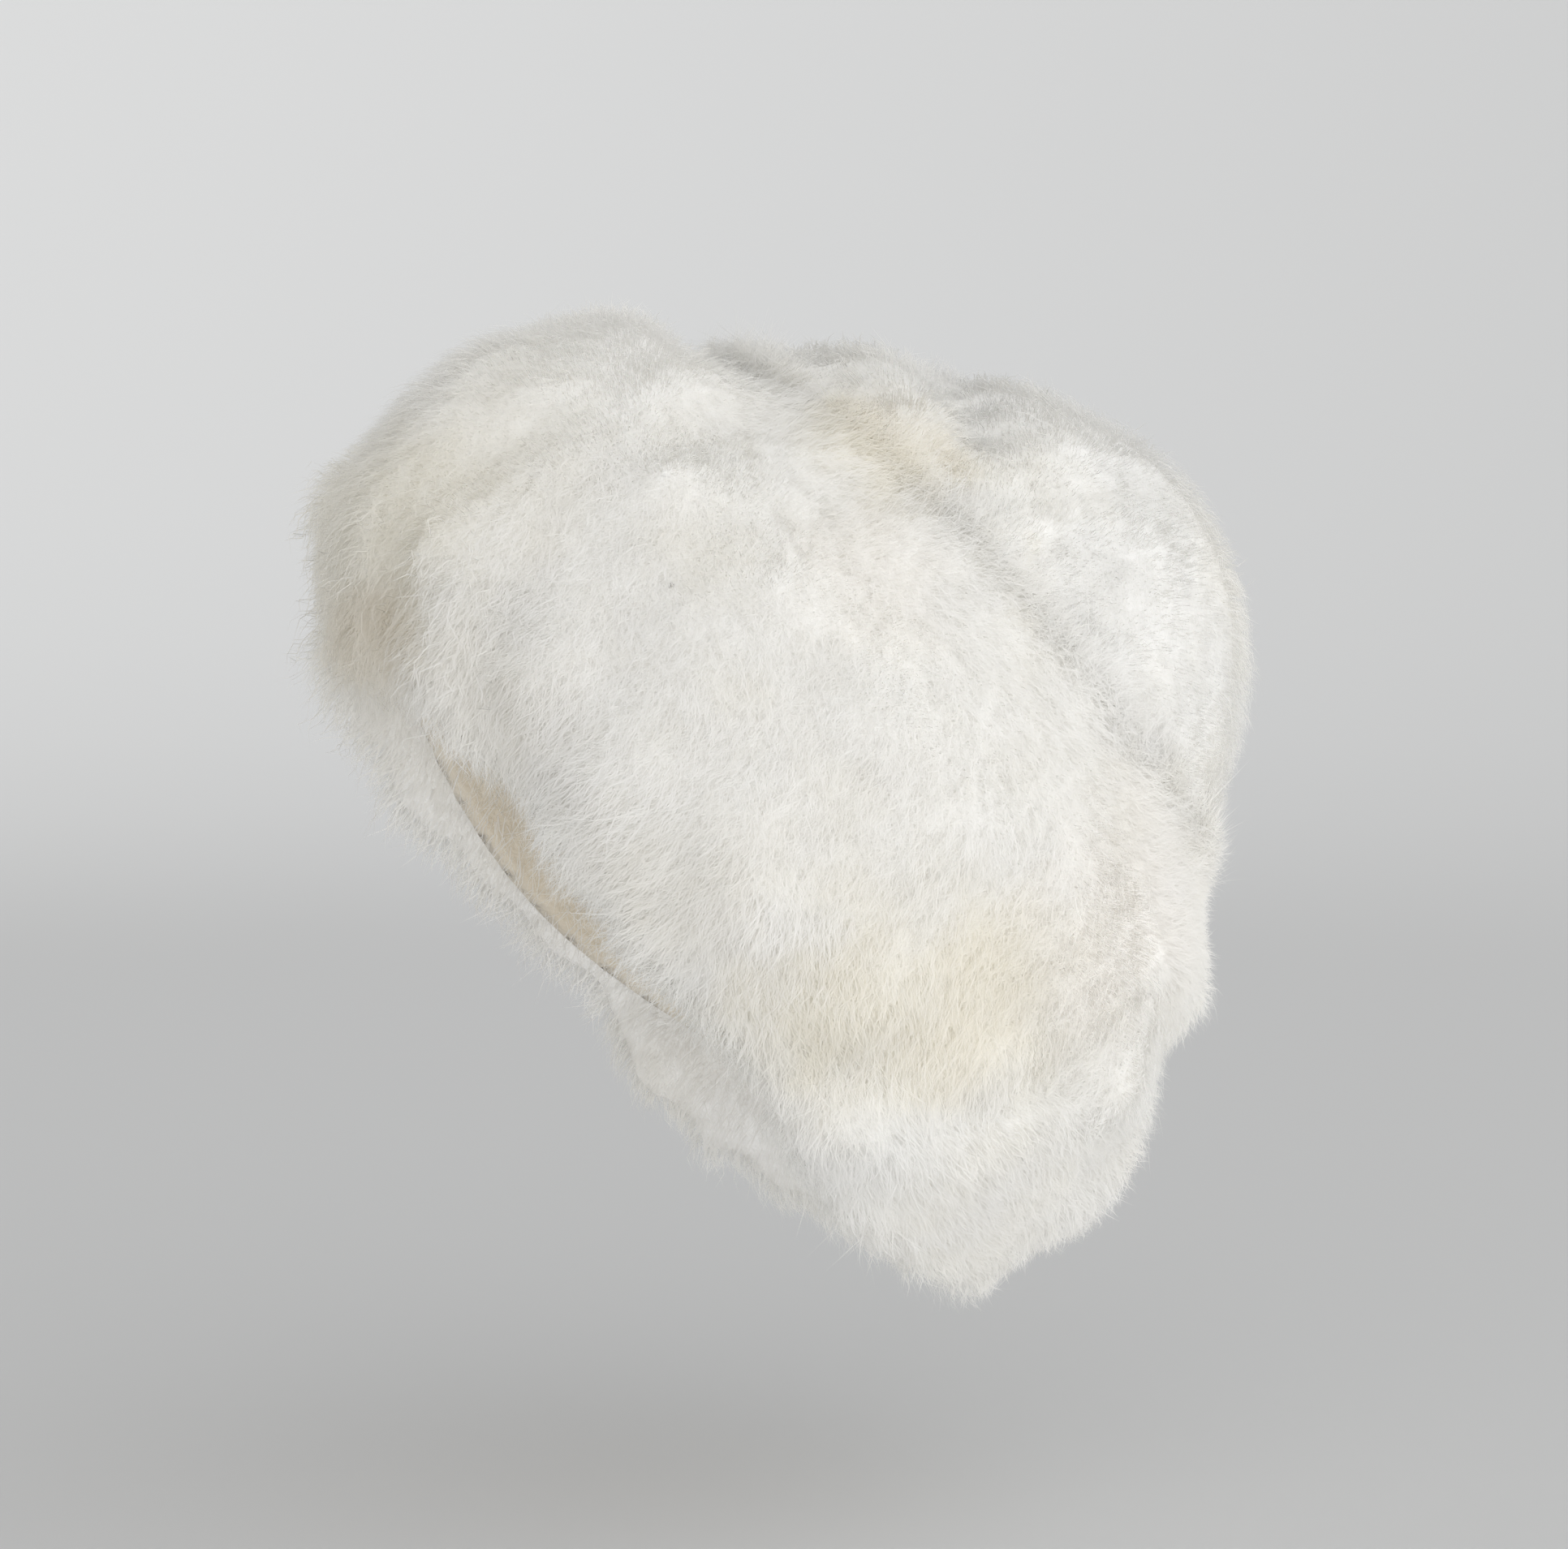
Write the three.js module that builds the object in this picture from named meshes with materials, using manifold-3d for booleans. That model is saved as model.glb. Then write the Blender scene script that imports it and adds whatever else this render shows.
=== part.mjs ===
import * as THREE from 'three';
import Module from 'manifold-3d';

const wasm = await Module();
wasm.setup();
const { Manifold, Mesh } = wasm;

// Millimetres. Each piece is made on the hat's own axes: x to the wearer's left, back from
// forehead to nape, and up along the axis of the crown, from the middle of the rim.
// A turn is the angle round that axis, 0 at the forehead and 180 at the nape.
const headHalfWidth = 79;
const headHalfLength = 101;
const crownInside = 198;
const hideThickness = 3;
const earDip = 16;
const tiltBack = 46;
const pieceGap = 1;
const crownPile = 21;
const lockRise = 4;
const detail = 0.5;

const wool = { color: 0xf1ece0, roughness: 0.95, metalness: 0 };
const palerWool = { color: 0xf4f1ea, roughness: 0.95, metalness: 0 };
const hide = { color: 0xe6dcc8, roughness: 0.85, metalness: 0 };

// The crown from the rim to its top: height as a share of the inside height,
// reach as a share of the head's oval, and how far the section is set back.
const crownSections = [
  { height: 0.0, reach: 1.0, setBack: 0 },
  { height: 0.17, reach: 1.02, setBack: 0 },
  { height: 0.36, reach: 1.02, setBack: 0 },
  { height: 0.54, reach: 0.99, setBack: 0 },
  { height: 0.68, reach: 0.89, setBack: 5 },
  { height: 0.77, reach: 0.79, setBack: 11 },
  { height: 0.85, reach: 0.65, setBack: 17 },
  { height: 0.92, reach: 0.47, setBack: 22 },
  { height: 0.97, reach: 0.29, setBack: 26 },
];

// The turned-up flaps round the crown, half of them, the other half being mirrored.
// Reaches are how far the pile stands out from the crown's wall, heights are along the axis.
const flapSections = [
  { turn: 0, low: -6, lowReach: 20, mid: 62, midReach: 59, high: 137, highReach: 36 },
  { turn: 25, low: -6, lowReach: 19, mid: 62, midReach: 54, high: 137, highReach: 32 },
  { turn: 45, low: -10, lowReach: 17, mid: 60, midReach: 45, high: 138, highReach: 24 },
  { turn: 70, low: -18, lowReach: 20, mid: 56, midReach: 42, high: 138, highReach: 20 },
  { turn: 95, low: -20, lowReach: 20, mid: 56, midReach: 42, high: 136, highReach: 18 },
  { turn: 118, low: -13, lowReach: 20, mid: 66, midReach: 44, high: 134, highReach: 18 },
  { turn: 135, low: 18, lowReach: 26, mid: 80, midReach: 49, high: 134, highReach: 18 },
  { turn: 155, low: 60, lowReach: 34, mid: 94, midReach: 52, high: 131, highReach: 16 },
  { turn: 180, low: 72, lowReach: 36, mid: 100, midReach: 52, high: 130, highReach: 14 },
];

// The lobe behind the neck: reaches from the hat's axis of its lower edge and of its fullest part.
const napeSections = [
  { turn: 108, lowReach: 104, low: -16, fullReach: 112, full: -8 },
  { turn: 122, lowReach: 112, low: -24, fullReach: 124, full: 0 },
  { turn: 145, lowReach: 130, low: -27, fullReach: 148, full: 20 },
  { turn: 160, lowReach: 152, low: -19, fullReach: 171, full: 34 },
  { turn: 180, lowReach: 168, low: -2, fullReach: 181, full: 42 },
];

const frontFlapTurn = 27;
const napeTurn = 110;
const crownSteps = 32;

const radians = (degrees) => degrees * Math.PI / 180;

// A value of a table between its rows, on a smooth curve.
function along(table, key, column, at) {
  const last = table.length - 1;
  if (at <= table[0][key]) return table[0][column];
  if (at >= table[last][key]) return table[last][column];
  let i = 0;
  while (at > table[i + 1][key]) i++;
  const t = (at - table[i][key]) / (table[i + 1][key] - table[i][key]);
  const a = table[Math.max(i - 1, 0)][column];
  const b = table[i][column];
  const c = table[i + 1][column];
  const d = table[Math.min(i + 2, last)][column];
  return b + 0.5 * t * (c - a + t * (2 * a - 5 * b + 4 * c - d + t * (3 * (b - c) + d - a)));
}

// A repeatable number from 0 to 1 for a lock or a row.
function scatter(a, b) {
  const v = Math.sin(a * 12.9898 + b * 78.233 + 4.1) * 43758.5453;
  return v - Math.floor(v);
}

function ovalReach(turn, grow) {
  const side = Math.sin(radians(turn)) / (headHalfWidth + grow);
  const front = Math.cos(radians(turn)) / (headHalfLength + grow);
  return 1 / Math.hypot(side, front);
}

function wallReach(turn, up, grow) {
  const height = up / (crownInside + grow);
  const share = along(crownSections, 'height', 'reach', height);
  const setBack = along(crownSections, 'height', 'setBack', height);
  return ovalReach(turn, grow) * share - setBack * Math.cos(radians(turn));
}

function point(turn, reach, up) {
  return [reach * Math.sin(radians(turn)), -reach * Math.cos(radians(turn)), up];
}

function solidOf(points, triangles) {
  const mesh = new Mesh({
    numProp: 3,
    vertProperties: new Float32Array(points.flat()),
    triVerts: new Uint32Array(triangles.flat()),
  });
  const solid = new Manifold(mesh);
  return solid.volume() < 0 ? new Manifold(new Mesh({
    numProp: 3,
    vertProperties: new Float32Array(points.flat()),
    triVerts: new Uint32Array(triangles.map(([a, b, c]) => [a, c, b]).flat()),
  })) : solid;
}

// A closed body through a list of loops, each loop with the same number of points.
function loopBody(loops, closed) {
  const size = loops[0].length;
  const points = loops.flat();
  const triangles = [];
  const count = closed ? loops.length : loops.length - 1;
  for (let i = 0; i < count; i++) {
    const next = (i + 1) % loops.length;
    for (let j = 0; j < size; j++) {
      const k = (j + 1) % size;
      triangles.push([i * size + j, next * size + j, next * size + k]);
      triangles.push([i * size + j, next * size + k, i * size + k]);
    }
  }
  if (!closed) {
    for (const end of [0, loops.length - 1]) {
      const loop = loops[end];
      const middle = [0, 1, 2].map((n) => loop.reduce((sum, p) => sum + p[n], 0) / size);
      points.push(middle);
      for (let j = 0; j < size; j++) {
        const edge = [end * size + j, end * size + (j + 1) % size, points.length - 1];
        triangles.push(end === 0 ? edge : [edge[1], edge[0], edge[2]]);
      }
    }
  }
  return solidOf(points, triangles);
}

// One ring of the crown, and the rings from the rim to the top, grown by a thickness.
function crownRing(grow, height) {
  return Array.from({ length: crownSteps }, (_, i) => {
    const turn = i * 360 / crownSteps;
    const up = typeof height === 'function' ? height(turn) : height;
    return point(turn, wallReach(turn, Math.max(up, 0), grow), up);
  });
}

function crownRings(grow) {
  const rings = crownSections.slice(1).map((row) => crownRing(grow, row.height * (crownInside + grow)));
  const last = crownSections.at(-1).setBack;
  rings.push(Array.from({ length: crownSteps }, (_, i) => {
    const [x, y, up] = point(i * 360 / crownSteps, 4, crownInside + grow);
    return [x, y + last, up];
  }));
  return rings;
}

// A block of space round the axis, between two turns and two sloped faces.
function space(fromTurn, toTurn, bottomAt, topAt, steps) {
  const nearReach = 30;
  const farReach = 260;
  const loops = [];
  const whole = toTurn - fromTurn >= 360;
  const count = whole ? steps : steps + 1;
  for (let i = 0; i < count; i++) {
    const turn = fromTurn + (toTurn - fromTurn) * i / steps;
    const corners = [[nearReach, bottomAt], [farReach, bottomAt], [farReach, topAt], [nearReach, topAt]];
    loops.push(corners.map(([reach, height]) => point(turn, reach, height(turn, reach))));
  }
  return loopBody(loops, whole);
}

// Turn folded to one half: the left and right flaps are alike.
const half = (turn) => Math.abs(((turn + 180) % 360 + 360) % 360 - 180);

// The crease between the flaps and the crown's fleece climbs outward from the wall.
function creaseHeight(turn, reach) {
  const high = along(flapSections, 'turn', 'high', half(turn));
  return high + 2 + 0.3 * (reach - wallReach(turn, high, 0));
}

// The crease under the flaps' back edge, above the lobe behind the neck.
function underHeight(turn, reach) {
  const low = along(flapSections, 'turn', 'low', half(turn));
  return low - 6 + 0.1 * (reach - wallReach(turn, 60, 0));
}

function flapLoop(turn, shrink) {
  const side = half(turn);
  const read = (column) => along(flapSections, 'turn', column, side);
  const low = read('low');
  const mid = read('mid');
  const high = read('high');
  const full = read('midReach');
  const outline = [
    [0, low + 10],
    [0.55 * read('lowReach'), low],
    [read('lowReach'), low + 2],
    [0.72 * full, low + 0.2 * (mid - low)],
    [0.93 * full, low + 0.55 * (mid - low)],
    [full, mid],
    [0.93 * full, mid + 0.38 * (high - mid)],
    [0.74 * full, mid + 0.72 * (high - mid)],
    [read('highReach'), mid + 0.95 * (high - mid)],
    [0.55 * read('highReach'), high + 2],
    [0, high + 6],
  ];
  const front = outline.map(([out, up], j) => {
    const bump = (scatter(Math.round(turn), j) - 0.5) * 5;
    const base = wallReach(turn, Math.max(up, 0), hideThickness) + pieceGap;
    return point(turn, base + Math.max(out * shrink + (j > 0 && j < 10 ? bump : 0), 0.2), up);
  });
  const back = [0.66, 0.33].map((share) => {
    const up = low + 10 + share * (high - low - 4);
    return point(turn, wallReach(turn, Math.max(up, 0), hideThickness) + pieceGap - 1.5, up);
  });
  return [...front, ...back];
}

function flapBody(fromTurn, toTurn, steps) {
  const loops = [];
  for (let i = 0; i <= steps; i++) {
    const turn = fromTurn + (toTurn - fromTurn) * i / steps;
    const end = Math.min(i, steps - i);
    loops.push(flapLoop(turn, end === 0 ? 0.8 : end === 1 ? 0.95 : 1));
  }
  return loopBody(loops, false);
}

function napeLoop(turn, shrink) {
  const side = half(turn);
  const read = (column) => along(napeSections, 'turn', column, side);
  const root = wallReach(turn, 0, hideThickness) + pieceGap;
  const top = Math.max(along(flapSections, 'turn', 'low', side) + 8, read('full') - 6);
  const wallTop = wallReach(turn, Math.max(top, 0), hideThickness) + pieceGap;
  const full = read('fullReach');
  const lowReach = read('lowReach');
  const low = read('low');
  const outline = [
    [wallTop - 1.5, top],
    [wallTop + 0.8 * (full - wallTop), top + 2],
    [full, read('full') + 0.4 * Math.max(top - read('full'), 4)],
    [full, read('full')],
    [0.35 * lowReach + 0.65 * full, 0.5 * (low + read('full'))],
    [lowReach, low],
    [0.35 * root + 0.65 * lowReach, low - 1],
    [0.75 * root + 0.25 * lowReach, low + 6],
    [root - 1.5, Math.max(low + 14, -8)],
  ];
  return outline.map(([reach, up], j) => {
    const bump = (scatter(Math.round(turn) + 7, j) - 0.5) * 5;
    const out = root + (reach - root) * shrink + (j > 0 && j < 8 ? bump : 0);
    return point(turn, out, up);
  });
}

function napeBody(steps) {
  const loops = [];
  for (let i = 0; i <= steps; i++) {
    const turn = napeTurn + (360 - 2 * napeTurn) * i / steps;
    loops.push(napeLoop(turn, 1));
  }
  return loopBody(loops, false);
}

// One lock of pile: four-sided, rooted inside the body, bent along its lie to a point.
function lock(root, out, lie, length, width) {
  const across = new THREE.Vector3().crossVectors(out, lie).normalize();
  const at = (o, l) => root.clone().addScaledVector(out, o).addScaledVector(lie, l);
  const rings = [
    { center: at(-9, -0.3 * length), wide: 0.8 * width, deep: 5 },
    { center: at(0.3 * lockRise, 0.1 * length), wide: width, deep: 6 },
    { center: at(0.9 * lockRise, 0.6 * length), wide: 0.6 * width, deep: 4 },
  ];
  const tip = at(0.4 * lockRise, length);
  const points = [];
  for (const ring of rings) {
    for (const [a, b] of [[-1, 0], [0, 1], [1, 0], [0, -1]]) {
      const p = ring.center.clone().addScaledVector(across, a * ring.wide / 2);
      points.push(p.addScaledVector(out, b * ring.deep).toArray());
    }
  }
  points.push(tip.toArray());
  const triangles = [[0, 1, 2], [0, 2, 3]];
  for (let r = 0; r < rings.length - 1; r++) {
    for (let j = 0; j < 4; j++) {
      const k = (j + 1) % 4;
      triangles.push([r * 4 + j, (r + 1) * 4 + k, r * 4 + k]);
      triangles.push([r * 4 + j, (r + 1) * 4 + j, (r + 1) * 4 + k]);
    }
  }
  for (let j = 0; j < 4; j++) triangles.push([8 + j, 12, 8 + (j + 1) % 4]);
  return solidOf(points, triangles);
}

const vector = (list) => new THREE.Vector3(...list);

// Locks over a flap, in staggered rows, lying toward the rim.
function flapLocks(fromTurn, toTurn, spacing, rows) {
  const locks = [];
  for (const row of rows) {
    const count = Math.max(2, Math.round((toTurn - fromTurn) * 2.3 / spacing));
    for (let i = 0; i < count; i++) {
      const shift = (row.stagger + 0.5 * scatter(i, row.slot)) * 0.6;
      const turn = fromTurn + (toTurn - fromTurn) * (i + 0.2 + shift) / count;
      const loop = flapLoop(turn, 1).map(vector);
      const here = loop[row.slot];
      const below = loop[row.slot - 1];
      const above = loop[row.slot + 1];
      const lie = below.clone().sub(above).normalize();
      const side = vector(point(turn + 90, 1, 0));
      const out = new THREE.Vector3().crossVectors(side, lie).normalize();
      if (out.dot(vector(point(turn, 1, 0))) < 0 && row.slot > 2) out.negate();
      const sway = (scatter(i, row.slot + 40) - 0.5) * 0.7;
      lie.addScaledVector(side, sway).normalize();
      locks.push(lock(here, out, lie, row.length * (0.8 + 0.4 * scatter(i, row.slot + 9)), row.width));
    }
  }
  return locks;
}

const flapLockRows = [
  { slot: 2, stagger: 0.0, length: 18, width: 22 },
  { slot: 4, stagger: 0.5, length: 30, width: 26 },
  { slot: 6, stagger: 0.0, length: 24, width: 26 },
  { slot: 8, stagger: 0.5, length: 26, width: 24 },
];

function napeLocks() {
  const locks = [];
  const rows = [
    { slot: 5, count: 14, length: 15, width: 18 },
    { slot: 3, count: 11, length: 26, width: 24 },
  ];
  for (const row of rows) {
    for (let i = 0; i < row.count; i++) {
      const turn = napeTurn + 8 + (344 - 2 * napeTurn) * (i + 0.5 * scatter(i, row.slot)) / row.count;
      const loop = napeLoop(turn, 1).map(vector);
      const lie = loop[row.slot + (row.slot === 5 ? 0 : 1)].clone().sub(loop[row.slot - 1]).normalize();
      const side = vector(point(turn + 90, 1, 0));
      const out = new THREE.Vector3().crossVectors(side, lie).normalize();
      if (out.dot(vector(point(turn, 1, 0.2))) < 0) out.negate();
      lie.addScaledVector(side, (scatter(i, row.slot + 3) - 0.5) * 0.6).normalize();
      locks.push(lock(loop[row.slot], out, lie, row.length * (0.8 + 0.4 * scatter(i, 2)), row.width));
    }
  }
  return locks;
}

function crownPileHeight(turn, share) {
  const dent = 10 * Math.exp(-((half(turn) - 62) ** 2) / 500 - ((share - 0.3) ** 2) / 0.05);
  return crownPile * (0.75 + 0.45 * Math.sin(Math.PI * (0.18 + 0.5 * share))) - dent;
}

function crownFleecePoint(turn, share) {
  const start = creaseHeight(turn, 0) / (crownInside + hideThickness) - 0.03;
  const height = start + (0.965 - start) * share;
  const up = height * (crownInside + hideThickness);
  const reach = wallReach(turn, up, hideThickness);
  const next = wallReach(turn, up - 6, hideThickness);
  const lean = Math.atan2(next - reach, 6);
  const pile = crownPileHeight(turn, share);
  const bump = (scatter(Math.round(turn) + 3, Math.round(share * 20)) - 0.5) * 5;
  return {
    inside: point(turn, Math.max(reach - 2, 2), up - 2),
    outside: point(turn, reach + Math.cos(lean) * (pile + bump), up + Math.sin(lean) * (pile + bump)),
    out: vector(point(turn, Math.cos(lean), Math.sin(lean))),
  };
}

function crownFleeceBody() {
  const shares = [0, 0.2, 0.45, 0.7, 0.9, 1];
  const loops = [];
  const ringOf = (make) => Array.from({ length: 26 }, (_, i) => make(i * 360 / 26));
  loops.push(ringOf((turn) => crownFleecePoint(turn, 0).inside));
  for (const share of shares) loops.push(ringOf((turn) => crownFleecePoint(turn, share).outside));
  loops.push(ringOf((turn) => {
    const [x, y, up] = point(turn, 8, crownInside + hideThickness + crownPile + 3);
    return [x, y + crownSections.at(-1).setBack, up];
  }));
  return loopBody(loops, false);
}

function crownLocks() {
  const locks = [];
  const rows = [
    { share: 0.22, count: 14 },
    { share: 0.5, count: 11 },
    { share: 0.8, count: 7 },
  ];
  for (const row of rows) {
    for (let i = 0; i < row.count; i++) {
      const turn = 360 * (i + 0.6 * scatter(i, row.count)) / row.count;
      const spot = crownFleecePoint(turn, row.share);
      const side = vector(point(turn + 90, 1, 0));
      const lie = new THREE.Vector3().crossVectors(spot.out, side).normalize();
      if (lie.z > 0) lie.negate();
      lie.addScaledVector(side, (scatter(i, row.count + 5) - 0.5) * 1.6).normalize();
      locks.push(lock(vector(spot.outside), spot.out, lie, 15 + 7 * scatter(i, 8), 20));
    }
  }
  return locks;
}

// What a piece's boolean leaves loose is trimmed off: only its main body stays.
function mainBody(solid) {
  return solid.decompose().reduce((a, b) => (a.volume() > b.volume() ? a : b));
}

function fleece(body, locks, clearOf, room) {
  let solid = body;
  for (const one of locks) solid = solid.add(one);
  if (room) solid = solid.intersect(room);
  for (const other of clearOf) solid = solid.subtract(other);
  return mainBody(mainBody(solid).simplify(detail));
}

const rimHeight = (turn) => -earDip * Math.sin(radians(turn)) ** 2;
const outerRings = crownRings(hideThickness);
const innerRings = crownRings(0);
const wall = loopBody([
  ...innerRings.reverse(),
  crownRing(0, rimHeight),
  crownRing(hideThickness, rimHeight),
  ...outerRings,
], false);
const clearance = hideThickness + pieceGap;
const crownRoom = loopBody([crownRing(clearance, -90), crownRing(clearance, -2), ...crownRings(clearance)], false);

const gapTurn = 0.35;
const above = () => 300;
const farBelow = () => -160;
const belowCrease = space(0, 360, farBelow, creaseHeight, 60);
const flapRoom = belowCrease.translate([0, 0, -pieceGap]);
const underFlaps = space(napeTurn, 360 - napeTurn, farBelow, underHeight, 40);
const between = (fromTurn, toTurn, steps) => space(fromTurn, toTurn, farBelow, above, steps);
const earSteps = 16;
const earRoom = flapRoom.intersect(between(frontFlapTurn + gapTurn, 180 - gapTurn, 12));
const frontRoom = flapRoom.intersect(between(gapTurn - frontFlapTurn, frontFlapTurn - gapTurn, 6));
const napeRoom = underFlaps.translate([0, 0, -pieceGap])
  .intersect(between(napeTurn + 2 * gapTurn, 360 - napeTurn - 2 * gapTurn, 12));

const leftEar = fleece(
  flapBody(frontFlapTurn, 180, earSteps),
  flapLocks(frontFlapTurn + 2, 178, 46, flapLockRows),
  [crownRoom, underFlaps],
  earRoom,
);

const pieces = [
  { name: 'crown', solid: wall, look: hide },
  {
    name: 'crown_fleece',
    solid: fleece(crownFleeceBody(), crownLocks(), [crownRoom, belowCrease]),
    look: palerWool,
  },
  {
    name: 'front_flap',
    solid: fleece(
      flapBody(-frontFlapTurn, frontFlapTurn, 7),
      flapLocks(-frontFlapTurn, frontFlapTurn, 32, flapLockRows),
      [crownRoom],
      frontRoom,
    ),
    look: wool,
  },
  { name: 'left_ear_flap', solid: leftEar, look: wool },
  { name: 'right_ear_flap', solid: leftEar.mirror([1, 0, 0]), look: wool },
  { name: 'nape_flap', solid: fleece(napeBody(16), napeLocks(), [crownRoom], napeRoom), look: wool },
];

const hat = new THREE.Group();
for (const piece of pieces) {
  const turned = piece.solid.rotate([-tiltBack, 0, 0]);
  const made = turned.getMesh();
  const geometry = new THREE.BufferGeometry();
  geometry.setAttribute('position', new THREE.BufferAttribute(new Float32Array(made.vertProperties), 3));
  geometry.setIndex(new THREE.BufferAttribute(new Uint32Array(made.triVerts), 1));
  geometry.computeVertexNormals();
  const mesh = new THREE.Mesh(geometry, new THREE.MeshStandardMaterial(piece.look));
  mesh.name = piece.name;
  hat.add(mesh);
}

export default hat;
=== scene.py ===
import math

import bpy
import numpy as np
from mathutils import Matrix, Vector, kdtree
from mathutils.bvhtree import BVHTree


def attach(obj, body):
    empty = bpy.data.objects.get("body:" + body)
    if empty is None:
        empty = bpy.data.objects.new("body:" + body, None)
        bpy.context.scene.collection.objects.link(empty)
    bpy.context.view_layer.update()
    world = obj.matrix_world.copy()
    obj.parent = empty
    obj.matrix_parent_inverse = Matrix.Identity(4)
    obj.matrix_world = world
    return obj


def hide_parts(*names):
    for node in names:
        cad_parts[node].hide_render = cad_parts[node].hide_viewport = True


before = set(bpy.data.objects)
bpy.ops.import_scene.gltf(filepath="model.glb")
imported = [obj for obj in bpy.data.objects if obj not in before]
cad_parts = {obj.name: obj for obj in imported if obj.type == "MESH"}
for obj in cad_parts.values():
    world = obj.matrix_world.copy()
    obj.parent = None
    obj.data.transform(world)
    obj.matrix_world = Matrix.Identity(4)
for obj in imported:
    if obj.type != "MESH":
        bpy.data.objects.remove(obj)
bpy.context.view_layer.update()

# Crown. The hollow dome of tanned sheepskin that gives the hat its shape, one hide with its bare
# suede side turned in. Its rim is cut to dip over the ears, and the flaps are sewn to it. The
# hat is worn tipped back, so its own axis leans by TILT_BACK.

TILT_BACK = math.radians(46)
MERGE_DISTANCE = 1e-5
HIDE = (0.74, 0.67, 0.55, 1)
HIDE_WORN = (0.83, 0.78, 0.68, 1)


def only(piece):
    bpy.ops.object.select_all(action="DESELECT")
    piece.select_set(True)
    bpy.context.view_layer.objects.active = piece


def finish_modifiers(piece):
    only(piece)
    for modifier in list(piece.modifiers):
        bpy.ops.object.modifier_apply(modifier=modifier.name)


def cut_from(nodes, name):
    """A copy of solids of the frame, their loose triangles merged, ready to be worked on."""
    bpy.ops.object.select_all(action="DESELECT")
    for node in nodes:
        copy = bpy.data.objects.new(name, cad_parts[node].data.copy())
        bpy.context.scene.collection.objects.link(copy)
        copy.select_set(True)
        bpy.context.view_layer.objects.active = copy
    bpy.ops.object.join()
    piece = bpy.context.view_layer.objects.active
    piece.name = name
    bpy.ops.object.mode_set(mode="EDIT")
    bpy.ops.mesh.select_all(action="SELECT")
    bpy.ops.mesh.remove_doubles(threshold=MERGE_DISTANCE)
    bpy.ops.object.mode_set(mode="OBJECT")
    piece.data.materials.clear()
    return piece


def new_material(name):
    material = bpy.data.materials.new(name)
    material.use_nodes = True
    nodes = material.node_tree.nodes
    nodes.clear()
    return material, nodes, material.node_tree.links


def hide_material():
    material, nodes, links = new_material("sheepskin_hide")
    output = nodes.new("ShaderNodeOutputMaterial")
    shader = nodes.new("ShaderNodeBsdfPrincipled")
    place = nodes.new("ShaderNodeTexCoord")
    patches = nodes.new("ShaderNodeTexNoise")
    patches.inputs["Scale"].default_value = 22
    patches.inputs["Detail"].default_value = 6
    nap = nodes.new("ShaderNodeTexNoise")
    nap.inputs["Scale"].default_value = 900
    nap.inputs["Detail"].default_value = 3
    grain = nodes.new("ShaderNodeTexVoronoi")
    grain.inputs["Scale"].default_value = 260
    tint = nodes.new("ShaderNodeValToRGB")
    tint.color_ramp.elements[0].position = 0.35
    tint.color_ramp.elements[0].color = HIDE
    tint.color_ramp.elements[1].position = 0.68
    tint.color_ramp.elements[1].color = HIDE_WORN
    height = nodes.new("ShaderNodeMath")
    height.operation = "ADD"
    relief = nodes.new("ShaderNodeBump")
    relief.inputs["Strength"].default_value = 0.5
    relief.inputs["Distance"].default_value = 0.0008
    for texture in (patches, nap, grain):
        links.new(place.outputs["Object"], texture.inputs["Vector"])
    links.new(patches.outputs["Fac"], tint.inputs["Fac"])
    links.new(tint.outputs["Color"], shader.inputs["Base Color"])
    links.new(nap.outputs["Fac"], height.inputs[0])
    links.new(grain.outputs["Distance"], height.inputs[1])
    links.new(height.outputs["Value"], relief.inputs["Height"])
    links.new(relief.outputs["Normal"], shader.inputs["Normal"])
    shader.inputs["Roughness"].default_value = 0.9
    shader.inputs["Sheen Weight"].default_value = 0.3
    links.new(shader.outputs["BSDF"], output.inputs["Surface"])
    return material


hide = hide_material()
crown = cut_from(["crown"], "crown_hide")
rounding = crown.modifiers.new("round", "SUBSURF")
rounding.levels = rounding.render_levels = 1
finish_modifiers(crown)
crown.data.materials.append(hide)
bpy.ops.object.shade_smooth()
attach(crown, "root")
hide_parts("crown")

# Fleece of the turned-up flaps. Long white sheepskin pile on flaps sewn to the crown's rim and
# folded up over it, combed toward the rim and clumped in soft locks over a dense under-wool.
# That under-wool, the crown's too, is softened as one mass and then parted along the crown's seam.

WOOL_ROOT = (0.96, 0.95, 0.925, 1)
WOOL_MIDDLE = (0.978, 0.974, 0.96, 1)
WOOL_TIP = (0.988, 0.988, 0.982, 1)
CREAM = (0.975, 0.963, 0.925, 1)
FINE_SPOT = 0.005


def to_hat(points):
    """Places on the hat's own axes: left, back and up, with the turn round the axis in degrees."""
    back = points[:, 1] * math.cos(TILT_BACK) - points[:, 2] * math.sin(TILT_BACK)
    up = points[:, 1] * math.sin(TILT_BACK) + points[:, 2] * math.cos(TILT_BACK)
    turn = np.degrees(np.arctan2(points[:, 0], -back))
    return points[:, 0], back, up, turn


def from_hat(left, back, up):
    """A direction given on the hat's own axes, turned to the frame's."""
    y = back * math.cos(TILT_BACK) + up * math.sin(TILT_BACK)
    z = -back * math.sin(TILT_BACK) + up * math.cos(TILT_BACK)
    return np.stack([left, y, z], axis=-1)


def unit(vectors):
    return vectors / np.maximum(np.linalg.norm(vectors, axis=-1, keepdims=True), 1e-9)


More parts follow.
